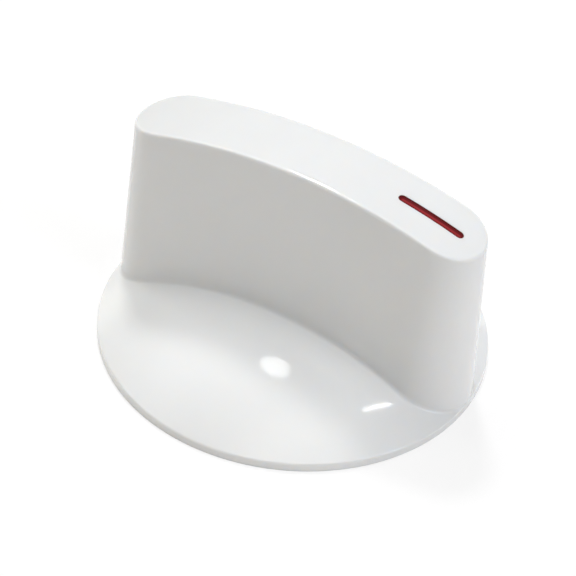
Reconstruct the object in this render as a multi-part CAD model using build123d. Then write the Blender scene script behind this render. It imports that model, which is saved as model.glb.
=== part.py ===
"""Washing machine knob: a moulded grip on a domed disc, with a painted pointer and a spring clip.

Millimetres, +Z up. The origin lies on the shaft's axis, in the plane that the rim stands on.
The grip runs along Y, with its pointer towards +Y.
"""
import os
from math import radians, sqrt, tan

from build123d import *

# Disc: the domed skirt that covers the shaft's hole in the panel
disc_diameter = 56.0
rim_edge = 1.2
rim_wall = 1.8
rim_edge_radius = 0.3
dome_rise = 8.3
dome_wall = 1.8

# Grip: the tall blade that the hand turns, measured at the top of its ends
grip_height = 32.7
grip_end_inset = 1.15
grip_width = 11.4
grip_wall = 1.8
crown_drop = 4.7
crown_wall = 2.2
side_lean = 3.6
foot_inset = 0.05
crown_edge_radius = 0.5
foot_radius = 0.6

# Pointer: a groove in the crown, lined with paint
pointer_length = 10.0
pointer_width = 1.3
pointer_end_gap = 3.2
groove_depth = 0.5
paint_film = 0.15
paint_coat = 0.12
paint_edge_drop = 0.06

# Socket: the boss that takes the machine's shaft, with a round guide before a D-shaped drive
shaft_diameter = 6.0
shaft_across_flat = 4.5
guide_clearance = 0.25
guide_depth = 6.0
drive_clearance = 0.03
drive_depth = 9.0
relief_diameter = 2.8
boss_wall = 1.8
boss_recess = 1.0
slot_width = 1.2

# Spring clip: a steel band seated around the split end of the boss
clip_thickness = 0.5
clip_gap = 5.0
clip_ear = 2.2
clip_lip = 0.9
clip_seat_depth = 0.3
clip_clearance = 0.05
clip_head_room = 1.2

# Places that follow from the sizes above
disc_radius = disc_diameter / 2
dome_top = rim_edge + dome_rise
dome_radius = (disc_radius**2 + dome_rise**2) / (2 * dome_rise)
dome_centre = dome_top - dome_radius
grip_length = disc_diameter - 2 * grip_end_inset
end_level = grip_height - crown_drop
end_slope = (grip_end_inset - foot_inset) / (end_level - rim_edge)
side_slope = tan(radians(side_lean))
crown_radius = ((grip_length / 2) ** 2 + crown_drop**2) / (2 * crown_drop)
crown_centre = grip_height - crown_radius
crown_ceiling = grip_height - crown_wall
pointer_middle = (grip_length - pointer_length) / 2 - pointer_end_gap
guide_radius = shaft_diameter / 2 + guide_clearance
drive_radius = shaft_diameter / 2 + drive_clearance
drive_flat = shaft_across_flat - shaft_diameter / 2 + drive_clearance
drive_floor = boss_recess + guide_depth + drive_depth
boss_radius = guide_radius + boss_wall
seat_radius = boss_radius - clip_seat_depth
clip_inner_radius = seat_radius + clip_clearance
clip_outer_radius = clip_inner_radius + clip_thickness
dome_ceiling = dome_centre + sqrt((dome_radius - dome_wall) ** 2 - clip_outer_radius**2)
clip_bottom = boss_recess + clip_lip + clip_clearance
clip_top = dome_ceiling - clip_head_room
seat_bottom = clip_bottom - clip_clearance
seat_top = clip_top + clip_clearance
spare = disc_diameter / 10


def column(radius, bottom, top):
    """A round bar on the axis between two heights."""
    return Pos(0, 0, (bottom + top) / 2) * Cylinder(radius, top - bottom)


def crown_bar(drop):
    """The lying bar whose upper side is the crown, or a face that lies deeper by the drop."""
    return Pos(0, 0, crown_centre) * Rot(0, 90, 0) * Cylinder(crown_radius - drop, disc_diameter)


def grip_outline(height, inset):
    """The grip's plan at a height: a stadium along Y, drawn in by the wall."""
    length = grip_length + 2 * end_slope * (end_level - height) - 2 * inset
    width = grip_width + 2 * side_slope * (end_level - height) - 2 * inset
    return Pos(0, 0, height) * SlotOverall(length, width, rotation=90)


def grip_block(inset, drop):
    """The leaning blade under its crown, from below the rim's plane, drawn in by its walls."""
    blade = loft([grip_outline(-spare, inset), grip_outline(grip_height + spare, inset)], ruled=True)
    return blade & crown_bar(drop)


def dome_block(inset, radius):
    """The dome's ball within a radius of the axis, from below the rim's plane."""
    ball = Pos(0, 0, dome_centre) * Sphere(dome_radius - inset)
    return ball & column(radius, -spare, dome_top + spare)


def outer_form():
    """The grip on the dome with rounded edges, trimmed at the rim so that its ends run into it."""
    dome = dome_block(0, disc_radius + spare / 2)
    grip = grip_block(0, 0)
    form = dome + grip
    form = fillet(new_edges(dome, grip, combined=form), foot_radius)
    crown_face = form.faces().sort_by(Axis.Z)[-1]
    form = fillet(crown_face.edges(), crown_edge_radius)
    form = form & column(disc_radius, 0, grip_height + spare)
    rim_face = form.faces().filter_by(GeomType.CYLINDER).sort_by(Axis.Z)[0]
    rim_edges = [edge for edge in rim_face.edges() if edge.center().Z > rim_edge / 2]
    return fillet(rim_edges, rim_edge_radius)


def shaft_socket():
    """The hole in the boss: the round guide, the D-shaped drive and the relief above it."""
    guide = column(guide_radius, boss_recess - spare, boss_recess + guide_depth)
    drive = column(drive_radius, boss_recess, drive_floor)
    beyond_flat = Pos(0, -drive_flat - drive_radius, drive_floor / 2) * Box(
        2 * drive_radius, 2 * drive_radius, drive_floor
    )
    relief = column(relief_diameter / 2, boss_recess, crown_ceiling)
    return guide + (drive - beyond_flat) + relief


def boss_slots():
    """The slot that splits the boss on both sides, so that its halves can spring."""
    bottom = boss_recess - spare
    return Pos(0, 0, (bottom + seat_top) / 2) * Box(slot_width, 2 * boss_radius, seat_top - bottom)


def clip_seat():
    """The shallow groove around the boss that keeps the clip from slipping off."""
    return column(clip_outer_radius, seat_bottom, seat_top) - column(seat_radius, seat_bottom, seat_top)


def pointer_prism(inset):
    """The pointer's plan, a stadium along Y drawn in by the inset, carried up through the crown."""
    plan = SlotOverall(pointer_length - 2 * inset, pointer_width - 2 * inset, rotation=90)
    return extrude(Pos(0, pointer_middle, end_level - spare) * plan, crown_drop + 2 * spare)


def make_knob_body():
    """The white moulding: the outer form, hollowed from below around its boss."""
    outer = outer_form()
    hollow = dome_block(dome_wall, disc_radius - rim_wall) + grip_block(grip_wall, crown_wall)
    boss = column(boss_radius, boss_recess, crown_ceiling + crown_wall / 2) & outer
    groove = pointer_prism(0) - crown_bar(groove_depth)
    return outer - hollow + boss - shaft_socket() - boss_slots() - clip_seat() - groove


def make_pointer_paint():
    """The red paint that lines the groove: a film on its floor, and a coat on its walls."""
    lining = pointer_prism(0) & crown_bar(paint_edge_drop)
    channel = pointer_prism(paint_coat) - crown_bar(groove_depth - paint_film)
    return lining - crown_bar(groove_depth) - channel


def make_spring_clip():
    """The open steel band around the boss, with its two ends turned outwards."""
    height = clip_top - clip_bottom
    middle = (clip_top + clip_bottom) / 2
    band = column(clip_outer_radius, clip_bottom, clip_top) - column(clip_inner_radius, clip_bottom, clip_top)
    opening = Pos(0, clip_outer_radius, middle) * Box(clip_gap, 2 * clip_outer_radius, height)
    ear_start = sqrt(clip_inner_radius**2 - (clip_gap / 2) ** 2)
    ear_side = (clip_gap + clip_thickness) / 2
    ears = [
        Pos(side * ear_side, ear_start + clip_ear / 2, middle) * Box(clip_thickness, clip_ear, height)
        for side in (-1, 1)
    ]
    return band - opening + ears


pieces = {
    "knob_body": make_knob_body(),
    "pointer_paint": make_pointer_paint(),
    "spring_clip": make_spring_clip(),
}
os.makedirs("parts", exist_ok=True)
for name, piece in pieces.items():
    export_step(piece, f"parts/{name}.step")
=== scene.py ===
"""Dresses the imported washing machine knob: white moulding, red pointer paint and steel spring clip.

The frame is in metres, with +Z up and the pointer towards +Y.
"""
import math

import bmesh
import bpy
import numpy as np
from bpy.props import FloatProperty, FloatVectorProperty, PointerProperty
from mathutils import Matrix, Quaternion, Vector


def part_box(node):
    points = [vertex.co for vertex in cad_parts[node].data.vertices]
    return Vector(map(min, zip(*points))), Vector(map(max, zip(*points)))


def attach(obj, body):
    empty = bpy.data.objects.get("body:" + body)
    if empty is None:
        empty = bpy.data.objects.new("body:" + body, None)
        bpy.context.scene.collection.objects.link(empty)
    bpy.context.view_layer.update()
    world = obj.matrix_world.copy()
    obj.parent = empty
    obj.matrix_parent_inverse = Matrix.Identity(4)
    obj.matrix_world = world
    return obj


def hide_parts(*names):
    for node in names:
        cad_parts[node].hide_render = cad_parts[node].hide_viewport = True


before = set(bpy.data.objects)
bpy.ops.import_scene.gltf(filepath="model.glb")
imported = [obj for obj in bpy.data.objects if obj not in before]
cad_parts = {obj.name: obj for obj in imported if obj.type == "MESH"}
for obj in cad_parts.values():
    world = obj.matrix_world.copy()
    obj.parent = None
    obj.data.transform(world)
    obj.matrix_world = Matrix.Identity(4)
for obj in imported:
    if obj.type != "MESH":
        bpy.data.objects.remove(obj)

bl_info = {
    "name": "Washing machine knob",
    "version": (1, 0, 0),
    "blender": (4, 5, 0),
    "location": "3D View > Sidebar > Knob",
    "description": "Gives the packed knob its finishes and sets up its studio",
    "category": "Object",
}

MM = 0.001
BODY = "root"
MOULDING = "knob_body"
PAINT = "pointer_paint"
CLIP = "spring_clip"
DOUBLE_POINTS = 0.0001 * MM
SHARP_EDGE = math.radians(40)
# The studio's soft panels: direction, tightness and light
PANELS = (
    ((0.05, 0.83, 0.55), 30.0, (5.1, 5.3, 5.9)),
    ((-0.35, -0.92, 0.2), 30.0, (1.6, 1.6, 1.5)),
    ((-0.1, -0.5, 0.85), 7.0, (1.5, 1.5, 1.5)),
    ((0.3, 0.05, 0.95), 30.0, (2.0, 1.9, 1.7)),
    ((0.1, -0.6, 0.8), 30.0, (0.5, 0.5, 0.5)),
    ((0.0, 0.3, 0.95), 30.0, (1.9, 1.9, 1.8)),
)
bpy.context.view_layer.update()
KNOB_LOW, KNOB_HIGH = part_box(MOULDING)
PAINT_LOW, PAINT_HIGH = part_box(PAINT)
CLIP_LOW, CLIP_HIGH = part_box(CLIP)


class KnobSizes(bpy.types.PropertyGroup):
    """The sizes of the pieces that are made here."""

    crown_radius: FloatProperty(
        name="Crown radius",
        description="Radius of the arch that the top of the grip follows along its length",
        default=79.044 * MM,
        unit="LENGTH",
    )
    groove_depth: FloatProperty(
        name="Groove depth",
        description="Depth of the pointer's groove below the crown",
        default=0.5 * MM,
        unit="LENGTH",
    )
    paint_film: FloatProperty(
        name="Paint film",
        description="Thickness of the paint in the middle of the groove",
        default=0.25 * MM,
        unit="LENGTH",
    )
    paint_edge_drop: FloatProperty(
        name="Paint edge drop",
        description="How far below the crown the paint ends on the groove's walls",
        default=0.06 * MM,
        unit="LENGTH",
    )
    clip_thickness: FloatProperty(
        name="Clip thickness",
        description="Thickness of the steel strip that the clip is bent from",
        default=0.5 * MM,
        unit="LENGTH",
    )
    clip_gap: FloatProperty(
        name="Clip gap",
        description="Width of the opening between the clip's two ears",
        default=5.0 * MM,
        unit="LENGTH",
    )
    clip_bend: FloatProperty(
        name="Clip bend",
        description="Radius of the bend between the clip's band and its ears, at the middle of the strip",
        default=0.75 * MM,
        unit="LENGTH",
    )
    clip_corner: FloatProperty(
        name="Clip corner",
        description="Rounding of the strip's long edges",
        default=0.12 * MM,
        unit="LENGTH",
    )


class KnobFinishes(bpy.types.PropertyGroup):
    """The colours and gloss of the three materials."""

    plastic_colour: FloatVectorProperty(
        name="Plastic",
        description="Colour of the white moulding",
        default=(0.84, 0.85, 0.85),
        subtype="COLOR",
        min=0,
        max=1,
    )
    plastic_roughness: FloatProperty(
        name="Plastic roughness",
        description="Roughness of the polished moulding",
        default=0.07,
        subtype="FACTOR",
        min=0,
        max=1,
    )
    plastic_depth: FloatProperty(
        name="Plastic depth",
        description="How far light spreads inside the white moulding",
        default=0.25 * MM,
        unit="LENGTH",
        min=0,
    )
    paint_colour: FloatVectorProperty(
        name="Paint",
        description="Colour of the pointer's paint",
        default=(0.29, 0.028, 0.031),
        subtype="COLOR",
        min=0,
        max=1,
    )
    # Painted shade: a darker red that stands in for the shade on the pointer groove's walls
    paint_groove_shade: FloatVectorProperty(
        name="Paint border",
        description="Darker paint colour painted along the groove's walls as their shade",
        default=(0.13, 0.008, 0.01),
        subtype="COLOR",
        min=0,
        max=1,
    )
    paint_roughness: FloatProperty(
        name="Paint roughness",
        description="Roughness of the dried paint",
        default=0.4,
        subtype="FACTOR",
        min=0,
        max=1,
    )
    steel_colour: FloatVectorProperty(
        name="Steel",
        description="Colour of the spring clip",
        default=(0.55, 0.55, 0.56),
        subtype="COLOR",
        min=0,
        max=1,
    )
    steel_roughness: FloatProperty(
        name="Steel roughness",
        description="Roughness of the rolled steel strip",
        default=0.3,
        subtype="FACTOR",
        min=0,
        max=1,
    )


class KnobStudio(bpy.types.PropertyGroup):
    """The camera, the lamps and the floor."""

    camera_aim: FloatVectorProperty(
        name="Aim",
        description="Point that the camera looks at",
        default=(0.583 * MM, -1.172 * MM, 8.302 * MM),
        subtype="TRANSLATION",
        unit="LENGTH",
    )
    camera_azimuth: FloatProperty(
        name="Azimuth",
        description="Camera's place round the knob, from the side of -Y towards +X",
        default=math.radians(116.22),
        subtype="ANGLE",
        unit="ROTATION",
    )
    camera_elevation: FloatProperty(
        name="Elevation",
        description="Camera's height above the horizon",
        default=math.radians(40.76),
        subtype="ANGLE",
        unit="ROTATION",
    )
    camera_roll: FloatProperty(
        name="Roll",
        description="Camera's turn about its own line of sight",
        default=math.radians(5.52),
        subtype="ANGLE",
        unit="ROTATION",
    )
    camera_distance: FloatProperty(
        name="Distance",
        description="Distance from the camera to its aim",
        default=360.63 * MM,
        subtype="DISTANCE",
        unit="LENGTH",
    )
    camera_lens: FloatProperty(
        name="Lens",
        description="Focal length on a sensor 36 mm wide",
        default=159.71,
        unit="CAMERA",
    )
    key_direction: FloatVectorProperty(
        name="Key lamp",
        description="Direction from the knob to the key lamp",
        default=(-0.36, -0.27, 0.893),
        subtype="DIRECTION",
    )
    key_power: FloatProperty(
        name="Key power",
        description="Power of the key lamp",
        default=0.84,
        unit="POWER",
    )
    oval_direction: FloatVectorProperty(
        name="Oval lamp",
        description="Direction from the knob to the oval lamp",
        default=(-0.143, -0.156, 0.977),
        subtype="DIRECTION",
    )
    oval_power: FloatProperty(
        name="Oval power",
        description="Power of the oval lamp",
        default=0.08,
        unit="POWER",
    )
    strip_direction: FloatVectorProperty(
        name="Strip lamp",
        description="Direction from the knob to the strip lamp",
        default=(-0.288, 0.412, 0.865),
        subtype="DIRECTION",
    )
    strip_power: FloatProperty(
        name="Strip power",
        description="Power of the strip lamp",
        default=0.05,
        unit="POWER",
    )
    panel_level: FloatProperty(
        name="Panel level",
        description="Brightness of all soft panels of the studio together",
        default=1.0,
        min=0,
    )
    floor_bounce: FloatVectorProperty(
        name="Floor bounce",
        description="Share of the light that the floor throws back on the knob",
        default=(0.88, 0.85, 0.81),
        subtype="COLOR",
        min=0,
        max=1,
    )
    floor_shade: FloatProperty(
        name="Floor shade",
        description="Share of the floor's white that the knob's shadow can take away",
        default=0.3,
        subtype="FACTOR",
        min=0,
        max=1,
    )


def add_piece(name, mesh):
    """Links a new object at the origin, unturned and unscaled."""
    piece = bpy.data.objects.new(name, mesh)
    bpy.context.scene.collection.objects.link(piece)
    return piece


def grid_faces(rows, columns, close_rows, close_columns):
    """Corner numbers of the quads of a grid of points, as one array."""
    row = np.arange(rows if close_rows else rows - 1)[:, None]
    column = np.arange(columns if close_columns else columns - 1)[None, :]
    next_row = (row + 1) % rows
    next_column = (column + 1) % columns
    corners = (
        row * columns + column,
        row * columns + next_column,
        next_row * columns + next_column,
        next_row * columns + column,
    )
    return np.stack([np.broadcast_to(c, (row.size, column.size)) for c in corners], axis=-1).reshape(-1, 4)


def closed_mesh(name, points, faces):
    """A mesh of a grid of points whose doubled points, at its poles, are made one."""
    mesh = bpy.data.meshes.new(name)
    mesh.from_pydata(points.reshape(-1, 3).tolist(), [], faces)
    shape = bmesh.new()
    shape.from_mesh(mesh)
    bmesh.ops.remove_doubles(shape, verts=shape.verts, dist=DOUBLE_POINTS)
    shape.to_mesh(mesh)
    shape.free()
    mesh.polygons.foreach_set("use_smooth", np.ones(len(mesh.polygons), bool))
    mesh.set_sharp_from_angle(angle=SHARP_EDGE)
    return mesh


def paint_mesh(sizes):
    """The paint in the groove: a closed profile carried round a stadium that follows the crown.

    A point is the stadium's middle line, moved out by the profile's radius and down from the crown by
    its depth. The profile runs out along the groove's floor, up its wall and back over a hollow top,
    whose depth falls from the wall to the middle with the fourth power of the radius.
    """
    half_width = (PAINT_HIGH.x - PAINT_LOW.x) / 2
    half_run = (PAINT_HIGH.y - PAINT_LOW.y) / 2 - half_width
    middle = (PAINT_HIGH.y + PAINT_LOW.y) / 2
    along = np.linspace(-1, 1, 49)
    bend = np.linspace(0, np.pi, 25)[1:-1]
    end = np.ones(bend.size)
    line = half_run * np.concatenate([along, end, -along, -end])
    turn = np.concatenate([0 * along, bend, 0 * along + np.pi, np.pi + bend])
    out = np.linspace(0, 1, 17)
    wall = np.linspace(0, 1, 5)[1:-1]
    lip = sizes.paint_edge_drop
    hollow = sizes.groove_depth - sizes.paint_film
    radius = half_width * np.concatenate([out, 0 * wall + 1, out[::-1]])[:, None]
    depth = np.concatenate([
        0 * out + sizes.groove_depth,
        sizes.groove_depth + (lip - sizes.groove_depth) * wall,
        hollow + (lip - hollow) * out[::-1] ** 4,
    ])[:, None]
    x = radius * np.cos(turn)
    y = middle + line + radius * np.sin(turn)
    z = KNOB_HIGH.z - sizes.crown_radius + np.sqrt((sizes.crown_radius - depth) ** 2 - y**2)
    rows, columns = x.shape
    return closed_mesh(PAINT, np.stack([x, y, z], axis=-1), grid_faces(rows, columns, False, True).tolist())


def clip_mesh(sizes):
    """The spring clip: a rounded strip section carried along a band, its two bends and its two ears.

    The path's middle line runs down one ear, round a bend whose circle touches ear and band, round the
    band about the axis, and back out along the other ear. The section is an upright bar with round
    corners, set across the path.
    """
    half = sizes.clip_thickness / 2
    radius = CLIP_HIGH.x - half
    ear = sizes.clip_gap / 2 + half
    bend = sizes.clip_bend
    bend_y = math.sqrt((radius + bend) ** 2 - (ear + bend) ** 2)
    start = math.atan2(bend_y, ear + bend)
    swing = np.linspace(0, 1, 13)
    turn = np.pi + start * swing[1:]
    sweep = start - (np.pi + 2 * start) * np.linspace(0, 1, 97)[1:]
    run = np.linspace(CLIP_HIGH.y, bend_y, 9)
    right_x = np.concatenate([0 * run + ear, ear + bend + bend * np.cos(turn)])
    right_y = np.concatenate([run, bend_y + bend * np.sin(turn)])
    x = np.concatenate([right_x, radius * np.cos(sweep[:-1]), -right_x[::-1]])
    y = np.concatenate([right_y, radius * np.sin(sweep[:-1]), right_y[::-1]])
    ahead = np.stack([np.gradient(x), np.gradient(y)])
    ahead = ahead / np.hypot(*ahead)
    height = (CLIP_HIGH.z - CLIP_LOW.z) / 2
    corner = sizes.clip_corner
    quarter = np.linspace(0, np.pi / 2, 5)
    angle = np.concatenate([quarter + side * np.pi / 2 for side in range(4)])
    side = (half - corner) * np.repeat([1, -1, -1, 1], quarter.size) + corner * np.cos(angle)
    rise = (height - corner) * np.repeat([1, 1, -1, -1], quarter.size) + corner * np.sin(angle)
    points = np.stack(np.broadcast_arrays(
        x[:, None] - ahead[1][:, None] * side,
        y[:, None] + ahead[0][:, None] * side,
        (CLIP_HIGH.z + CLIP_LOW.z) / 2 + rise[None, :],
    ), axis=-1)
    rows, columns = points.shape[:2]
    faces = grid_faces(rows, columns, False, True).tolist()
    faces.append(list(range(columns - 1, -1, -1)))
    faces.append(list(range((rows - 1) * columns, rows * columns)))
    return closed_mesh(CLIP, points, faces)


def set_material(piece, material):
    """Makes a material the piece's only one."""
    piece.data.materials.clear()
    piece.data.materials.append(material)


def new_group(name, inputs, outputs):
    """A shader node group with named sockets, and its input and output nodes."""
    tree = bpy.data.node_groups.new(name, "ShaderNodeTree")
    for socket, kind, default in inputs:
        made = tree.interface.new_socket(socket, in_out="INPUT", socket_type=kind)
        made.default_value = default
    for socket, kind in outputs:
        tree.interface.new_socket(socket, in_out="OUTPUT", socket_type=kind)
    return tree, tree.nodes.new("NodeGroupInput"), tree.nodes.new("NodeGroupOutput")


def mottle_group():
    """Cloudy change over a surface: noise on Object coordinates, spread between a low and a high value."""
    name = "Mottle"
    if name in bpy.data.node_groups:
        return bpy.data.node_groups[name]
    tree, given, put = new_group(
        name,
        [
            ("Scale", "NodeSocketFloat", 100.0),
            ("Detail", "NodeSocketFloat", 3.0),
            ("Stretch", "NodeSocketVector", (1.0, 1.0, 1.0)),
            ("Low", "NodeSocketFloat", 0.0),
            ("High", "NodeSocketFloat", 1.0),
        ],
        [("Value", "NodeSocketFloat")],
    )
    place = tree.nodes.new("ShaderNodeTexCoord")
    stretch = tree.nodes.new("ShaderNodeVectorMath")
    stretch.operation = "MULTIPLY"
    noise = tree.nodes.new("ShaderNodeTexNoise")
    spread = tree.nodes.new("ShaderNodeMapRange")
    spread.inputs["From Min"].default_value = 0.3
    spread.inputs["From Max"].default_value = 0.7
    join = tree.links.new
    join(place.outputs["Object"], stretch.inputs[0])
    join(given.outputs["Stretch"], stretch.inputs[1])
    join(stretch.outputs["Vector"], noise.inputs["Vector"])
    join(given.outputs["Scale"], noise.inputs["Scale"])
    join(given.outputs["Detail"], noise.inputs["Detail"])
    join(noise.outputs["Fac"], spread.inputs["Value"])
    join(given.outputs["Low"], spread.inputs["To Min"])
    join(given.outputs["High"], spread.inputs["To Max"])
    join(spread.outputs["Result"], put.inputs["Value"])
    return tree


def tint_group():
    """Two shades of one colour, mixed by a cloudy noise on Object coordinates."""
    name = "Tint"
    if name in bpy.data.node_groups:
        return bpy.data.node_groups[name]
    tree, given, put = new_group(
        name,
        [
            ("Light", "NodeSocketColor", (1.0, 1.0, 1.0, 1.0)),
            ("Dark", "NodeSocketColor", (0.5, 0.5, 0.5, 1.0)),
            ("Scale", "NodeSocketFloat", 100.0),
            ("Detail", "NodeSocketFloat", 3.0),
        ],
        [("Color", "NodeSocketColor")],
    )
    cloud = tree.nodes.new("ShaderNodeGroup")
    cloud.node_tree = mottle_group()
    mix = tree.nodes.new("ShaderNodeMix")
    mix.data_type = "RGBA"
    join = tree.links.new
    join(given.outputs["Scale"], cloud.inputs["Scale"])
    join(given.outputs["Detail"], cloud.inputs["Detail"])
    join(cloud.outputs["Value"], mix.inputs["Factor"])
    join(given.outputs["Dark"], mix.inputs["A"])
    join(given.outputs["Light"], mix.inputs["B"])
    join(mix.outputs["Result"], put.inputs["Color"])
    return tree


def groove_shade_group():
    """Nearness to a stadium's outline: nothing on its middle line, which runs along Y, and one outside."""
    # The value places the painted shade of the pointer groove's walls and ends
    tree, given, put = new_group(
        "Border",
        [
            ("Middle", "NodeSocketFloat", 0.0),
            ("Half run", "NodeSocketFloat", 1.0),
            ("Half width", "NodeSocketFloat", 1.0),
        ],
        [("Value", "NodeSocketFloat")],
    )
    place = tree.nodes.new("ShaderNodeTexCoord")
    split = tree.nodes.new("ShaderNodeSeparateXYZ")
    from_middle, along, past_run, over, share = (tree.nodes.new("ShaderNodeMath") for _ in range(5))
    from_middle.operation = "SUBTRACT"
    along.operation = "ABSOLUTE"
    past_run.operation = "SUBTRACT"
    over.operation = "MAXIMUM"
    over.inputs[1].default_value = 0.0
    share.operation = "DIVIDE"
    offset = tree.nodes.new("ShaderNodeCombineXYZ")
    radius = tree.nodes.new("ShaderNodeVectorMath")
    radius.operation = "LENGTH"
    join = tree.links.new
    join(place.outputs["Object"], split.inputs["Vector"])
    join(split.outputs["Y"], from_middle.inputs[0])
    join(given.outputs["Middle"], from_middle.inputs[1])
    join(from_middle.outputs["Value"], along.inputs[0])
    join(along.outputs["Value"], past_run.inputs[0])
    join(given.outputs["Half run"], past_run.inputs[1])
    join(past_run.outputs["Value"], over.inputs[0])
    join(split.outputs["X"], offset.inputs["X"])
    join(over.outputs["Value"], offset.inputs["Y"])
    join(offset.outputs["Vector"], radius.inputs[0])
    join(radius.outputs["Value"], share.inputs[0])
    join(given.outputs["Half width"], share.inputs[1])
    join(share.outputs["Value"], put.inputs["Value"])
    return tree


def place_group(material, tree, values):
    """Puts a node group into a material with its own values."""
    node = material.node_tree.nodes.new("ShaderNodeGroup")
    node.node_tree = tree
    for socket, value in values.items():
        node.inputs[socket].default_value = value
    return node


def new_finish(name):
    """A material with its shader, and the shader."""
    material = bpy.data.materials.new(name)
    material.use_nodes = True
    shader = next(n for n in material.node_tree.nodes if n.type == "BSDF_PRINCIPLED")
    return material, shader


def shade(colour, factor):
    """The colour times a factor, with full alpha."""
    return (*(min(1.0, c * factor) for c in colour), 1.0)


def surface_finish(name, colour, contrast, roughness, spread, grain_scale, grain_height, stretch=(1, 1, 1)):
    """A finish with clouded colour, uneven gloss and a fine grain in its surface."""
    material, shader = new_finish(name)
    join = material.node_tree.links.new
    tint = place_group(
        material,
        tint_group(),
        {
            "Light": shade(colour, 1 + contrast),
            "Dark": shade(colour, 1 - contrast),
            "Scale": 90.0,
            "Detail": 4.0,
        },
    )
    gloss = place_group(
        material,
        mottle_group(),
        {
            "Scale": 160.0,
            "Detail": 5.0,
            "Stretch": stretch,
            "Low": roughness * (1 - spread),
            "High": roughness * (1 + spread),
        },
    )
    grain = place_group(
        material,
        mottle_group(),
        {"Scale": grain_scale, "Detail": 2.0, "Stretch": stretch},
    )
    bump = material.node_tree.nodes.new("ShaderNodeBump")
    bump.inputs["Distance"].default_value = grain_height
    join(tint.outputs["Color"], shader.inputs["Base Color"])
    join(gloss.outputs["Value"], shader.inputs["Roughness"])
    join(grain.outputs["Value"], bump.inputs["Height"])
    join(bump.outputs["Normal"], shader.inputs["Normal"])
    return material, shader


class KNOB_OT_moulding(bpy.types.Operator):
    """Gives the moulded body its white plastic"""

    bl_idname = "knob.moulding"
    bl_label = "Moulding"

    def execute(self, context):
        finishes = context.scene.knob_finishes
        material, shader = surface_finish(
            "white_plastic",
            finishes.plastic_colour,
            contrast=0.012,
            roughness=finishes.plastic_roughness,
            spread=0.25,
            grain_scale=700.0,
            grain_height=0.002 * MM,
        )
        shader.inputs["IOR"].default_value = 1.52
        shader.inputs["Subsurface Weight"].default_value = 1.0
        shader.inputs["Subsurface Radius"].default_value = (1.0, 0.9, 0.8)
        shader.inputs["Subsurface Scale"].default_value = finishes.plastic_depth
        set_material(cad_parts[MOULDING], material)
        return {"FINISHED"}


class KNOB_OT_pointer(bpy.types.Operator):
    """Gives the pointer its red paint"""

    bl_idname = "knob.pointer"
    bl_label = "Pointer"

    def execute(self, context):
        finishes = context.scene.knob_finishes
        material, shader = surface_finish(
            "red_paint",
            finishes.paint_colour,
            contrast=0.12,
            roughness=finishes.paint_roughness,
            spread=0.2,
            grain_scale=4000.0,
            grain_height=0.01 * MM,
        )
        shader.inputs["Specular IOR Level"].default_value = 0.08
        half_width = (PAINT_HIGH.x - PAINT_LOW.x) / 2
        border = place_group(
            material,
            groove_shade_group(),
            {
                "Middle": (PAINT_HIGH.y + PAINT_LOW.y) / 2,
                "Half run": (PAINT_HIGH.y - PAINT_LOW.y) / 2 - half_width,
                "Half width": half_width,
            },
        )
        # Painted shade: the paint's colour darkens towards the groove's walls and ends, standing in for
        # their shade
        groove_shade_ramp = material.node_tree.nodes.new("ShaderNodeMapRange")
        groove_shade_ramp.interpolation_type = "SMOOTHSTEP"
        groove_shade_ramp.inputs["From Min"].default_value = 0.1
        groove_shade_ramp.inputs["From Max"].default_value = 0.55
        mix = material.node_tree.nodes.new("ShaderNodeMix")
        mix.data_type = "RGBA"
        mix.inputs["B"].default_value = (*finishes.paint_groove_shade, 1.0)
        join = material.node_tree.links.new
        join(border.outputs["Value"], groove_shade_ramp.inputs["Value"])
        join(groove_shade_ramp.outputs["Result"], mix.inputs["Factor"])
        join(shader.inputs["Base Color"].links[0].from_socket, mix.inputs["A"])
        join(mix.outputs["Result"], shader.inputs["Base Color"])
        piece = add_piece("pointer_line", paint_mesh(context.scene.knob_sizes))
        set_material(piece, material)
        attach(piece, BODY)
        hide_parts(PAINT)
        return {"FINISHED"}


class KNOB_OT_clip(bpy.types.Operator):
    """Gives the spring clip its rolled steel"""

    bl_idname = "knob.clip"
    bl_label = "Spring clip"

    def execute(self, context):
        finishes = context.scene.knob_finishes
        material, shader = surface_finish(
            "spring_steel",
            finishes.steel_colour,
            contrast=0.08,
            roughness=finishes.steel_roughness,
            spread=0.3,
            grain_scale=900.0,
            grain_height=0.01 * MM,
            stretch=(1, 1, 12),
        )
        shader.inputs["Metallic"].default_value = 1.0
        piece = add_piece("clip_strip", clip_mesh(context.scene.knob_sizes))
        set_material(piece, material)
        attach(piece, BODY)
        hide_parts(CLIP)
        return {"FINISHED"}


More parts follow.
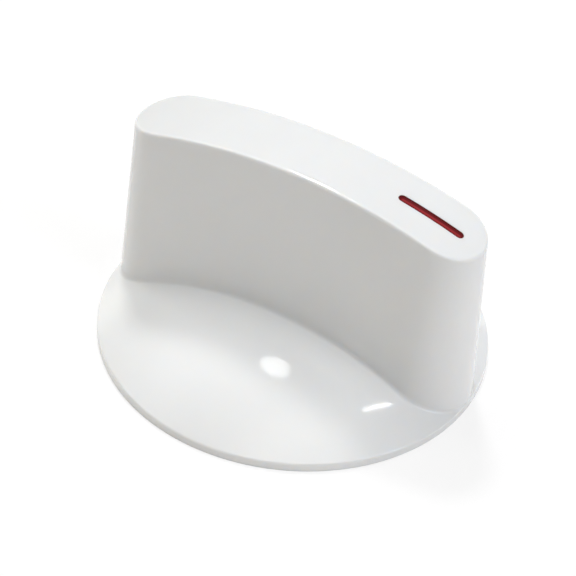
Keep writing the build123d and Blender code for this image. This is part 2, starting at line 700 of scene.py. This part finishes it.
def floor_material(bounce, shade):
    """A pale floor that looks white in the light, keeps the knob's shadow and throws back some light."""
    material = bpy.data.materials.new("pale_floor")
    material.use_nodes = True
    nodes = material.node_tree.nodes
    nodes.clear()
    join = material.node_tree.links.new
    path = nodes.new("ShaderNodeLightPath")
    camera_or_glossy = nodes.new("ShaderNodeMath")
    camera_or_glossy.operation = "MAXIMUM"
    seen = nodes.new("ShaderNodeMath")
    seen.operation = "MAXIMUM"
    join(path.outputs["Is Camera Ray"], camera_or_glossy.inputs[0])
    join(path.outputs["Is Glossy Ray"], camera_or_glossy.inputs[1])
    join(camera_or_glossy.outputs["Value"], seen.inputs[0])
    join(path.outputs["Is Transmission Ray"], seen.inputs[1])
    thrown = nodes.new("ShaderNodeBsdfDiffuse")
    thrown.inputs["Color"].default_value = (*bounce, 1.0)
    shown = nodes.new("ShaderNodeBsdfDiffuse")
    shown.inputs["Color"].default_value = (shade, shade, shade, 1.0)
    lift = nodes.new("ShaderNodeEmission")
    lift.inputs["Strength"].default_value = 1 - shade
    both = nodes.new("ShaderNodeAddShader")
    join(shown.outputs["BSDF"], both.inputs[0])
    join(lift.outputs["Emission"], both.inputs[1])
    choose = nodes.new("ShaderNodeMixShader")
    join(seen.outputs["Value"], choose.inputs["Fac"])
    join(thrown.outputs["BSDF"], choose.inputs[1])
    join(both.outputs["Shader"], choose.inputs[2])
    output = nodes.new("ShaderNodeOutputMaterial")
    join(choose.outputs["Shader"], output.inputs["Surface"])
    return material


def floor_mesh(radius, cove):
    """A round floor with a low cove: rings of growing radius that rise towards the outer edge.

    A point's height is nothing within four fifths of the radius, and from there it grows with the
    square of the way to the edge, where it is the height of the cove.
    """
    share = np.linspace(0.01, 1.0, 60)[:, None]
    turn = np.linspace(0, 2 * np.pi, 96, endpoint=False)[None, :]
    rise = cove * np.clip(5 * share - 4, 0, 1) ** 2 + 0 * turn
    points = np.stack([radius * share * np.cos(turn), radius * share * np.sin(turn), rise], axis=-1)
    rows, columns = rise.shape
    mesh = bpy.data.meshes.new("floor")
    faces = grid_faces(rows, columns, False, True)[:, ::-1].tolist()
    faces.append(list(range(columns)))
    mesh.from_pydata(points.reshape(-1, 3).tolist(), [], faces)
    mesh.polygons.foreach_set("use_smooth", np.ones(len(mesh.polygons), bool))
    return mesh


def panel_group():
    """A soft panel far away: how bright it is in each direction, from one in its middle to nothing."""
    tree, given, put = new_group(
        "Soft panel",
        [("Direction", "NodeSocketVector", (0.0, 0.0, 1.0)), ("Tightness", "NodeSocketFloat", 1.0)],
        [("Value", "NodeSocketFloat")],
    )
    place = tree.nodes.new("ShaderNodeTexCoord")
    along = tree.nodes.new("ShaderNodeVectorMath")
    along.operation = "DOT_PRODUCT"
    ahead = tree.nodes.new("ShaderNodeMath")
    ahead.operation = "MAXIMUM"
    ahead.inputs[1].default_value = 0.0
    fall = tree.nodes.new("ShaderNodeMath")
    fall.operation = "POWER"
    join = tree.links.new
    join(place.outputs["Generated"], along.inputs[0])
    join(given.outputs["Direction"], along.inputs[1])
    join(along.outputs["Value"], ahead.inputs[0])
    join(ahead.outputs["Value"], fall.inputs[0])
    join(given.outputs["Tightness"], fall.inputs[1])
    join(fall.outputs["Value"], put.inputs["Value"])
    return tree


def set_sky(level):
    """The studio around the knob: the sum of its soft panels, each with its own colour of light."""
    world = bpy.data.worlds.new("studio")
    bpy.context.scene.world = world
    world.use_nodes = True
    nodes = world.node_tree.nodes
    nodes.clear()
    join = world.node_tree.links.new
    tree = panel_group()
    light = nodes.new("ShaderNodeBackground")
    light.inputs["Strength"].default_value = level
    output = nodes.new("ShaderNodeOutputWorld")
    so_far = None
    for direction, tightness, colour in PANELS:
        panel = nodes.new("ShaderNodeGroup")
        panel.node_tree = tree
        panel.inputs["Direction"].default_value = Vector(direction).normalized()
        panel.inputs["Tightness"].default_value = tightness
        more = nodes.new("ShaderNodeVectorMath")
        more.operation = "MULTIPLY_ADD"
        more.inputs[1].default_value = colour
        join(panel.outputs["Value"], more.inputs[0])
        if so_far:
            join(so_far, more.inputs[2])
        so_far = more.outputs["Vector"]
    join(so_far, light.inputs["Color"])
    join(light.outputs["Background"], output.inputs["Surface"])


def add_lamp(name, direction, distance, width, length, power, turn=0.0):
    """An oval lamp that shines from a direction on the middle of the knob, turned about its own axis."""
    data = bpy.data.lights.new(name, "AREA")
    data.shape = "ELLIPSE"
    data.size = width
    data.size_y = length
    data.energy = power
    lamp = bpy.data.objects.new(name, data)
    towards = Vector(direction).normalized()
    lamp.rotation_mode = "QUATERNION"
    lamp.rotation_quaternion = (-towards).to_track_quat("-Z", "Y") @ Quaternion((0, 0, 1), turn)
    lamp.location = Vector((0, 0, KNOB_HIGH.z / 2)) + towards * distance
    bpy.context.scene.collection.objects.link(lamp)
    return lamp


def add_camera(studio):
    """The camera on its arm: out from the aim by azimuth, elevation and distance, then rolled."""
    data = bpy.data.cameras.new("camera")
    data.sensor_width = 36.0
    data.lens = studio.camera_lens
    data.clip_start = 0.01
    data.clip_end = 20.0
    camera = bpy.data.objects.new("camera", data)
    across = math.cos(studio.camera_elevation)
    back = Vector((
        math.sin(studio.camera_azimuth) * across,
        -math.cos(studio.camera_azimuth) * across,
        math.sin(studio.camera_elevation),
    ))
    level = (-back).to_track_quat("-Z", "Y").to_matrix()
    turned = level @ Matrix.Rotation(studio.camera_roll, 3, "Z")
    camera.rotation_mode = "QUATERNION"
    camera.rotation_quaternion = turned.to_quaternion()
    camera.location = Vector(studio.camera_aim) + back * studio.camera_distance
    bpy.context.scene.collection.objects.link(camera)
    bpy.context.scene.camera = camera


class KNOB_OT_studio(bpy.types.Operator):
    """Sets up the floor, the light and the camera"""

    bl_idname = "knob.studio"
    bl_label = "Studio"

    def execute(self, context):
        studio = context.scene.knob_studio
        floor = add_piece("floor", floor_mesh(3.0, 0.45))
        set_material(floor, floor_material(studio.floor_bounce, studio.floor_shade))
        set_sky(studio.panel_level)
        add_lamp("key", studio.key_direction, 0.5, 0.07, 0.07, studio.key_power)
        add_lamp("oval", studio.oval_direction, 0.5, 0.06, 0.087, studio.oval_power, math.radians(34.6))
        add_lamp("strip", studio.strip_direction, 0.5, 0.005, 0.11, studio.strip_power, math.radians(28.9))
        add_camera(studio)
        context.scene.view_settings.view_transform = "Standard"
        return {"FINISHED"}


class KNOB_PT_sidebar(bpy.types.Panel):
    """Lists the knob's sizes, finishes and studio"""

    bl_idname = "KNOB_PT_sidebar"
    bl_label = "Washing machine knob"
    bl_space_type = "VIEW_3D"
    bl_region_type = "UI"
    bl_category = "Knob"

    def draw(self, context):
        for settings in (context.scene.knob_sizes, context.scene.knob_finishes, context.scene.knob_studio):
            box = self.layout.box()
            for name in settings.__annotations__:
                box.prop(settings, name)
        for operator in OPERATORS:
            self.layout.operator(operator.bl_idname)


SETTINGS = {"knob_sizes": KnobSizes, "knob_finishes": KnobFinishes, "knob_studio": KnobStudio}
OPERATORS = (KNOB_OT_moulding, KNOB_OT_pointer, KNOB_OT_clip, KNOB_OT_studio)
CLASSES = (*SETTINGS.values(), *OPERATORS, KNOB_PT_sidebar)


def register():
    for cls in CLASSES:
        bpy.utils.register_class(cls)
    for name, group in SETTINGS.items():
        setattr(bpy.types.Scene, name, PointerProperty(type=group))


def unregister():
    for name in SETTINGS:
        delattr(bpy.types.Scene, name)
    for cls in reversed(CLASSES):
        bpy.utils.unregister_class(cls)


def main():
    register()
    bpy.ops.knob.moulding()
    bpy.ops.knob.pointer()
    bpy.ops.knob.clip()
    bpy.ops.knob.studio()


if __name__ == "__main__":
    main()
